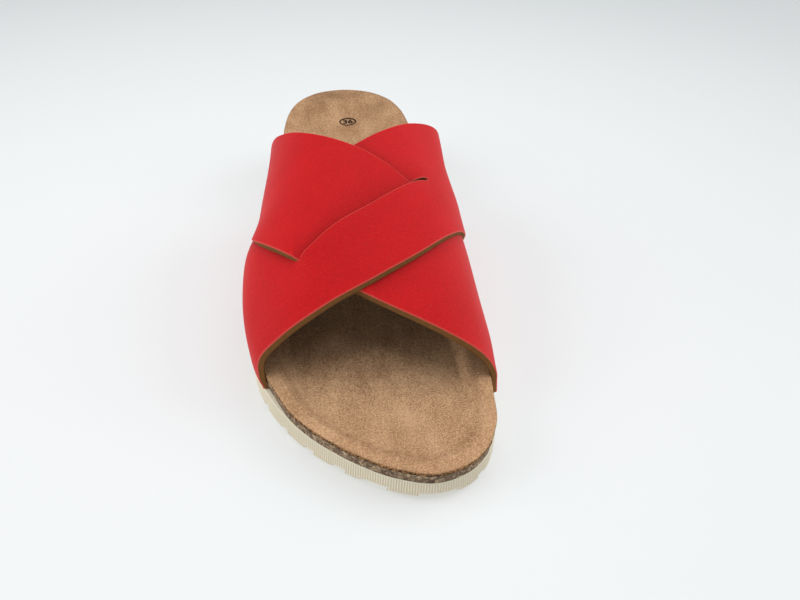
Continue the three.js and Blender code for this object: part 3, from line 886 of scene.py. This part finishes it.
def flat_digits():
    """Mesh of the size digits, flat around the origin."""
    text = bpy.data.curves.new("size_digits", "FONT")
    text.body = SIZE_DIGITS["text"]
    text.align_x = "CENTER"
    text.align_y = "CENTER"
    text.size = SIZE_DIGITS["size"]
    text.offset = SIZE_DIGITS["bold"]
    letters = bpy.data.objects.new("size_digits", text)
    bpy.context.scene.collection.objects.link(letters)
    flat = bpy.data.meshes.new_from_object(letters.evaluated_get(bpy.context.evaluated_depsgraph_get()))
    bpy.data.objects.remove(letters)
    return flat


def make_size_mark():
    """Stamped size: plain digits in an oval ring, laid on the suede."""
    stamp = bmesh.new()
    stamp.from_mesh(flat_digits())
    bmesh.ops.scale(stamp, vec=SIZE_DIGITS["scale"], verts=stamp.verts)
    steps = SIZE_MARK["steps"]
    angles = [2 * math.pi * step / steps for step in range(steps)]
    ovals = []
    for inwards in (0, SIZE_MARK["line"]):
        wide, high = SIZE_MARK["width"] / 2 - inwards, SIZE_MARK["height"] / 2 - inwards
        corners = [(wide * math.cos(angle), high * math.sin(angle), 0) for angle in angles]
        ovals.append([stamp.verts.new(corner) for corner in corners])
    outside, inside = ovals
    for step in range(steps):
        after = (step + 1) % steps
        stamp.faces.new((outside[step], outside[after], inside[after], inside[step]))
    bmesh.ops.triangulate(stamp, faces=stamp.faces)
    x = SIZE_MARK["x"] + np.array([corner.co.x for corner in stamp.verts])
    station = SIZE_MARK["station"] - np.array([corner.co.y for corner in stamp.verts])
    spots = place(station, x, bed_at(station, x) + SIZE_MARK["proud"])
    for corner, spot in zip(stamp.verts, spots):
        corner.co = spot
    mesh = bpy.data.meshes.new("size_mark")
    stamp.to_mesh(mesh)
    stamp.free()
    mesh.materials.append(ink())
    piece = bpy.data.objects.new("size_mark", mesh)
    bpy.context.scene.collection.objects.link(piece)
    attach(piece, "root")


def last_point(station, turn):
    """Point on the middle surface of the crossing: up the cork's side, then over the crown."""
    medial = turn > 0
    foot_x = edge_x(station, medial, FOOT_OUT)
    rim_x = foot_x + flare_at(station, medial)
    rim_z = rim_level(station, medial) - RIM_ROUND - SUEDE - GAP
    around = np.abs(turn)
    down = np.clip((around - WALL_TURN) / (1 - WALL_TURN), 0, 1)
    angle = np.clip(around / WALL_TURN, 0, 1) * np.pi / 2
    rise = np.clip(np.cos(angle), 0, 1) ** (2 / FULLNESS)
    reach = np.sin(angle) ** (2 / FULLNESS)
    section = {name: look_up(LAST, "station", station, name) for name in LAST}
    out = np.where(medial, section["medial_out"], -section["lateral_out"])
    over_x = lerp(section["crown_x"], rim_x, reach) + out * np.sin(np.pi * rise) ** 2
    over_z = lerp(rim_z, section["crown"], rise)
    wall = around > WALL_TURN
    x = np.where(wall, lerp(rim_x, foot_x, down), over_x)
    z = np.where(wall, lerp(rim_z, seam_at(station) + GAP, down), over_z)
    return place(station, x, z)


def last_normal(station, turn):
    """Outward direction of that surface."""
    beside = np.minimum(turn + NORMAL_STEP["turn"], 1), np.maximum(turn - NORMAL_STEP["turn"], -1)
    across = last_point(station, beside[0]) - last_point(station, beside[1])
    ahead = last_point(station + NORMAL_STEP["station"], turn)
    along = ahead - last_point(station - NORMAL_STEP["station"], turn)
    normal = np.cross(along, across)
    return normal / np.linalg.norm(normal, axis=-1, keepdims=True)


def strap_turns():
    """Turns of the straps' columns, with the slit's two ends among them."""
    return np.concatenate([
        np.linspace(-1, SLIT["lateral"], STRAP_COLUMNS["lateral"], endpoint=False),
        np.linspace(SLIT["lateral"], SLIT["medial"], STRAP_COLUMNS["slit"], endpoint=False),
        np.linspace(SLIT["medial"], 1, STRAP_COLUMNS["medial"]),
    ])


def strap_stations(rear, front, rows):
    """Stations across a strap, a row for each line along it, with rows packed near both cuts."""
    near = np.array(EDGE_ROWS)[:, None]
    shares = np.linspace(0, 1, rows)[1:-1, None]
    inner = lerp(rear + EDGE_ROWS[-1], front - EDGE_ROWS[-1], shares)
    return np.concatenate([rear + near, inner, front - near[::-1]])


def rounding(near, radius):
    """How far a surface drops towards a cut that is near by."""
    inside = np.clip(radius - near, 0, radius)
    return radius - np.sqrt(radius ** 2 - inside ** 2)


def sheet_of(station, turn, lift, near, shade, bevel):
    """Outer and inner points of one sheet of leather, and how close each is to a cut."""
    turn = np.broadcast_to(turn, station.shape)
    base = last_point(station, turn)
    under_base = last_point(station + bevel, turn)
    normal = last_normal(station, turn)
    over = (lift + LEATHER / 2 - rounding(near, SKIN_ROUND))[..., None] * MM
    under = (lift - LEATHER / 2 + rounding(near, LINING_ROUND))[..., None] * MM
    outer, inner = base + normal * over, under_base + normal * under
    return {"outer": outer, "inner": inner, "near": near, "shade": shade}


def sheet_cells(sheets, joined):
    """Four corners of each cell of the sheets, the joined columns of each sheet shared with the next."""
    grids = []
    count = 0
    for sheet in sheets:
        shape = sheet["near"].shape
        grids.append(count + np.arange(shape[0] * shape[1]).reshape(shape))
        count += shape[0] * shape[1]
    for ahead, behind in zip(grids[1:], grids):
        ahead[0, joined] = behind[-1, joined]
    cells = []
    for grid in grids:
        corners = [grid[:-1, :-1], grid[1:, :-1], grid[1:, 1:], grid[:-1, 1:]]
        cells.append(np.stack(corners, axis=-1).reshape(-1, 4))
    return np.concatenate(cells)


def free_edges(cells, count):
    """Edges of cells that no other cell shares."""
    edges = np.concatenate([cells[:, [corner, (corner + 1) % 4]] for corner in range(4)])
    codes = edges[:, 0] * count + edges[:, 1]
    return edges[~np.isin(codes, edges[:, 1] * count + edges[:, 0])]


def cut_edge(outer, inner, free, first):
    """Rough wall between the outer and inner edges of a strap, with new points numbered from first."""
    ends = np.unique(free)
    order = {end: index for index, end in enumerate(ends.tolist())}
    out = np.zeros_like(outer)
    direction = np.cross(outer[free[:, 1]] - outer[free[:, 0]], (outer - inner)[free[:, 0]])
    np.add.at(out, free[:, 0], direction)
    np.add.at(out, free[:, 1], direction)
    out = out[ends] / np.maximum(np.linalg.norm(out[ends], axis=1, keepdims=True), TINY)
    rows = []
    for row in range(1, CUT_FACE["rows"] + 1):
        flat = lerp(outer[ends], inner[ends], row / (CUT_FACE["rows"] + 1))
        bulge = CUT_FACE["bulge"] + CUT_FACE["rough"] * roughness_of(flat, CUT_FACE["grain"])
        rows.append(flat + out * bulge[:, None] * MM)

    def down_from(end):
        between = [first + row * len(ends) + order[end] for row in range(CUT_FACE["rows"])]
        return [end, *between, end + len(outer)]

    faces = []
    for start, end in free.tolist():
        left, right = down_from(start), down_from(end)
        faces += [list(face) for face in zip(right, left, left[1:], right[1:])]
    return np.concatenate(rows), faces


def leather_wall(name, sheets, joined):
    """Closed leather strap from sheets laid rear to front, one piece with the next in the joined columns."""
    cells = sheet_cells(sheets, joined)
    used = np.unique(cells)
    cells = np.searchsorted(used, cells)

    def gather(name, *shape):
        return np.concatenate([sheet[name].reshape(-1, *shape) for sheet in sheets])[used]

    outer, inner = gather("outer", 3), gather("inner", 3)
    near, shade = gather("near"), gather("shade")
    cut_points, cut_faces = cut_edge(outer, inner, free_edges(cells, len(used)), 2 * len(used))
    points = np.concatenate([outer, inner, cut_points])
    faces = cells.tolist() + (cells[:, ::-1] + len(used)).tolist() + cut_faces
    finishes = [RED_LEATHER, CUT_EDGE, FLESH_SIDE]
    skin, cut_face, lining = range(len(finishes))
    finish_of_face = [skin] * len(cells) + [lining] * len(cells) + [cut_face] * len(cut_faces)
    piece = make_piece(name, points, faces, finishes, finish_of_face)
    # pale line at the cuts: partly the thin finish, partly a painted highlight
    pale = 1 - smooth(near, PALE_LINE["full"], PALE_LINE["gone"])
    add_mask(piece, "cut", np.concatenate([pale, np.zeros(len(used)), np.ones(len(cut_points))]))
    add_mask(piece, "shade", np.concatenate([shade, np.zeros(len(used) + len(cut_points))]))
    stand_for(piece, "upper")


def swells(rows, turn, station):
    """Lift of the listed swells and hollows at places of a strap."""
    lift = 0
    for middle, middle_station, reach, length, rise in rows_of(rows):
        near = ((turn - middle) / reach) ** 2 + ((station - middle_station) / length) ** 2
        lift = lift + rise * np.exp(-near)
    return lift


def bevel_at(station):
    """How far the flesh side runs ahead of the skin at a strap's front cut."""
    return FRONT_BEVEL["reach"] * (1 - smooth(station[-1] - station, 0, FRONT_BEVEL["length"]))


def shadow_past(distance, reach):
    """Painted shade that starts at an overlapping edge and fades over a reach in millimetres."""
    return np.where(distance > OVERLAP_START, np.exp(-np.maximum(distance, 0) / reach), 0)


def make_slit_strap():
    """Strap from the medial rear to the lateral front, with the long slit."""
    turn = strap_turns()
    slit = edge_station(SLIT_LINE, turn)
    from_lateral, from_medial = turn - SLIT["lateral"], SLIT["medial"] - turn
    in_slit = (turn > SLIT["lateral"]) & (turn < SLIT["medial"])
    parted = smooth(from_lateral, 0, SLIT_PARTS["lateral"]) * smooth(from_medial, 0, SLIT_PARTS["medial"])
    half = SLIT["half_width"] * in_slit * np.maximum(parted, SLIT["least"])
    rear = strap_stations(edge_station(SLIT_STRAP_REAR, turn), slit - half, STRAP_ROWS["slit_half"])
    front = strap_stations(slit + half, edge_station(SLIT_STRAP_FRONT, turn), STRAP_ROWS["slit_half"])
    rides = smooth(turn, RIDE["start"], RIDE["end"]) * lerp(1, FOOT_STEP, smooth(turn, WALL_TURN, 1))

    def lift_of(station, at_slit):
        ahead = station - slit
        closed = lerp(-HIGH_LIFT, HIGH_LIFT, rides * smooth(ahead, -EASE, EASE))
        widen = SLIT_GAPES["spread"] * np.abs(ahead)
        lateral_gape = smooth(from_lateral, 0, SLIT_GAPES["lateral"] + widen)
        gape = lateral_gape * smooth(from_medial, 0, SLIT_GAPES["medial"] + widen)
        return lerp(closed, at_slit(ahead), gape) + swells(SLIT_STRAP_SWELLS, turn, station)

    def dipped(ahead):
        return -HIGH_LIFT - REAR_DIP["depth"] * smooth(ahead, -REAR_DIP["length"], 0)

    def raised(ahead):
        return HIGH_LIFT + LIP["rise"] * (1 - smooth(ahead, 0, LIP["length"]))

    no_cut = np.where(in_slit, 0, LENGTH)
    rear_near = np.minimum(rear - rear[0], rear[-1] - rear + no_cut)
    front_near = np.minimum(front - front[0] + no_cut, front[-1] - front)
    over_rear = edge_station(THROUGH_STRAP_REAR, turn)
    over_front = edge_station(THROUGH_STRAP_FRONT, turn)
    lateral = turn < SLIT["lateral"]
    # Painted shade on this strap's skin next to the other strap's edges.
    behind_shade = shadow_past(over_rear - rear, OVERLAP_SHADE["rear"]) * ~lateral
    rear_shade = behind_shade + shadow_past(rear - over_front, OVERLAP_SHADE["front"]) * lateral
    front_shade = shadow_past(front - over_front, OVERLAP_SHADE["front"]) * lateral
    sheets = [
        sheet_of(rear, turn, lift_of(rear, dipped), rear_near, rear_shade, 0),
        sheet_of(front, turn, lift_of(front, raised), front_near, front_shade, bevel_at(front)),
    ]
    leather_wall("slit_strap", sheets, ~in_slit)


def make_through_strap():
    """Strap from the lateral rear, over the other and down through its slit, to the medial front."""
    turn = strap_turns()
    slit = edge_station(SLIT_LINE, turn)
    rear_edge, front_edge = edge_station(THROUGH_STRAP_REAR, turn), edge_station(THROUGH_STRAP_FRONT, turn)
    station = strap_stations(rear_edge, front_edge, STRAP_ROWS["through"])
    across = smooth(turn, SLIT["lateral"], 0)
    start, end = (lerp(dive["lateral"], dive["medial"], across) for dive in (DIVE_START, DIVE_END))
    behind = 1 - smooth(station - slit, start, end)
    rides = lerp(1, FOOT_STEP, smooth(-turn, WALL_TURN, 1))
    lift = lerp(-HIGH_LIFT, HIGH_LIFT, behind * rides) + swells(THROUGH_STRAP_SWELLS, turn, station)
    near = np.minimum(station - station[0], station[-1] - station)
    # Painted shade behind the slit's lip and ahead of the other strap's front edge.
    lip_shade = THROUGH_SHADE["lip_strength"] * shadow_past(slit - station, THROUGH_SHADE["lip"])
    past_front = station - edge_station(SLIT_STRAP_FRONT, turn)
    front_shade = THROUGH_SHADE["front_strength"] * shadow_past(past_front, THROUGH_SHADE["front"])
    shade = np.maximum(lip_shade * (turn > SLIT["lateral"]), front_shade * (turn > 0))
    leather_wall("through_strap", [sheet_of(station, turn, lift, near, shade, bevel_at(station))], [])


def make_camera():
    """Camera that looks at the target from its angle and distance, rolled about its axis."""
    azimuth, elevation, roll = (math.radians(CAMERA[name]) for name in ("azimuth", "elevation", "roll"))
    flat_back = Vector((math.sin(azimuth), -math.cos(azimuth), 0))
    back = flat_back * math.cos(elevation) + Vector((0, 0, math.sin(elevation)))
    right = (-back).cross(Vector((0, 0, 1))).normalized()
    up = right.cross(-back)
    rolled_right = right * math.cos(roll) + up * math.sin(roll)
    rolled_up = up * math.cos(roll) - right * math.sin(roll)
    lens = bpy.data.cameras.new("camera")
    lens.lens = LENS["focal"]
    lens.sensor_width = LENS["sensor"]
    lens.sensor_fit = "HORIZONTAL"
    lens.clip_start = LENS["clip"] * MM
    camera = bpy.data.objects.new("camera", lens)
    spot = (Vector(CAMERA_TARGET) + back * CAMERA["distance"]) * MM
    turned = Matrix((rolled_right, rolled_up, back)).transposed().to_4x4()
    camera.matrix_world = Matrix.Translation(spot) @ turned
    bpy.context.scene.collection.objects.link(camera)
    bpy.context.scene.camera = camera


def make_floor():
    """Pale floor that bends up into a wall all around."""
    angles = np.linspace(0, 2 * np.pi, FLOOR["around"], endpoint=False)
    bend = np.linspace(0, np.pi / 2, FLOOR["rings"])[1:]
    reach = np.concatenate([[FLOOR["core"], FLOOR["flat"]], FLOOR["flat"] + FLOOR["bend"] * np.sin(bend)])
    rise = np.concatenate([[0, 0], FLOOR["bend"] * (1 - np.cos(bend))])
    x, y = np.outer(reach, np.cos(angles)), np.outer(reach, np.sin(angles))
    points = np.stack(np.broadcast_arrays(x, y, rise[:, None]), axis=-1).reshape(-1, 3)
    faces = skin_faces(len(reach), FLOOR["around"], bottom=False)
    make_piece("floor", points, faces, [pale_floor()])


def make_lights():
    """Soft lights that point at the sandal, and an even white surround."""
    for light in LIGHTS:
        lamp = bpy.data.lights.new(light["name"], "AREA")
        lamp.size = light["size"]
        lamp.energy = light["power"]
        stand = bpy.data.objects.new(light["name"], lamp)
        stand.location = light["spot"]
        stand.rotation_euler = Vector(light["spot"]).to_track_quat("Z", "Y").to_euler()
        bpy.context.scene.collection.objects.link(stand)
    world = bpy.data.worlds.new("surround")
    world.use_nodes = True
    background = world.node_tree.nodes["Background"]
    background.inputs["Color"].default_value = SURROUND["color"]
    background.inputs["Strength"].default_value = SURROUND["strength"]
    bpy.context.scene.world = world
    bpy.context.scene.view_settings.view_transform = "Standard"


RED_LEATHER = red_leather()
CUT_EDGE = raw_leather("cut_edge", light=paint(150, 106, 60), dark=paint(84, 54, 26), depth=0.16)
# The flesh side is the leather's own brown, made darker than the cut edge as painted shade of the straps'
# insides.
FLESH_SIDE = raw_leather("flesh_side", light=paint(104, 66, 34), dark=paint(64, 38, 18), depth=0.12)

make_camera()
make_floor()
make_lights()
make_outsole()
make_footbed()
make_insole()
make_size_mark()
make_slit_strap()
make_through_strap()
